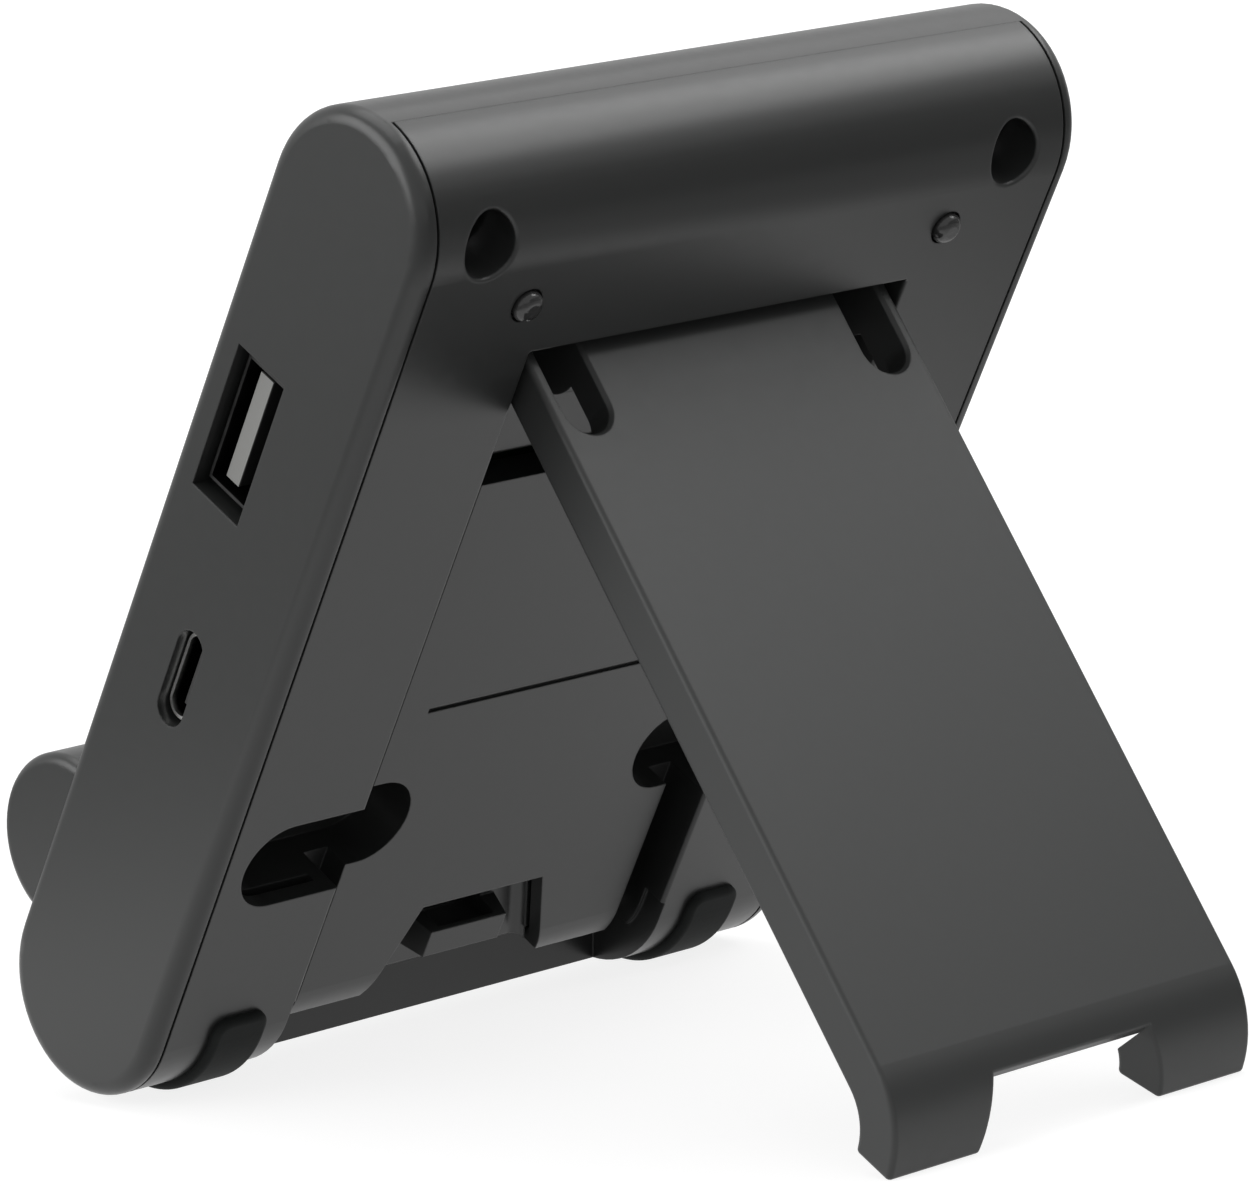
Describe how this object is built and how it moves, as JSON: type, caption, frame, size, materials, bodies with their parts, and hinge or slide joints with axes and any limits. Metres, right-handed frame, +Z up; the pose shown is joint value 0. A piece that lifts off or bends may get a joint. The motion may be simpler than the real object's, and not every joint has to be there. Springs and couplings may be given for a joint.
{
  "type": "handheld console dock",
  "caption": "Leaning charging dock for a handheld game console: a rounded slab with a front shelf, side ports and a hinged rear stand.",
  "frame": {"origin": "centre of the footprint of the open dock, on the surface that it stands on", "axes": "+X out of the side that has the ports, +Y out of the rear towards the open stand, +Z up"},
  "size_m": [0.08, 0.1024, 0.092],
  "materials": {
    "case_plastic": "satin moulded",
    "stand_plastic": "satin moulded",
    "rubber": "matt",
    "steel": "satin",
    "board": "solder mask",
    "chip_plastic": "moulded",
    "tongue_plastic": "moulded",
    "connector_metal": "plated"
  },
  "bodies": {
    "base": {"board_screws": "steel", "bumper_left": "rubber", "bumper_right": "rubber", "capacitors": "connector_metal", "case_screws": "steel", "choke_coil": "chip_plastic", "controller_chip": "chip_plastic", "crystal": "connector_metal", "foot_pad_left": "rubber", "foot_pad_right": "rubber", "front_ledge": "case_plastic", "front_shell": "case_plastic", "ledge_screws": "steel", "main_board": "board", "plug_base": "chip_plastic", "plug_board": "board", "plug_carrier": "case_plastic", "plug_shell": "connector_metal", "plug_tongue": "chip_plastic", "power_chip": "chip_plastic", "rear_shell": "case_plastic", "usb_a_shell": "connector_metal", "usb_a_tongue": "tongue_plastic", "usb_c_shell": "connector_metal", "usb_c_tongue": "chip_plastic"},
    "stand": {"kickstand": "stand_plastic"}
  },
  "joints": [
    {"name": "stand_hinge", "type": "hinge", "parent": "base", "child": "stand", "pos_m": [0, 0.00878, 0.06734], "axis": [1, 0, 0], "range_deg": [-64.57, 0]}
  ]
}
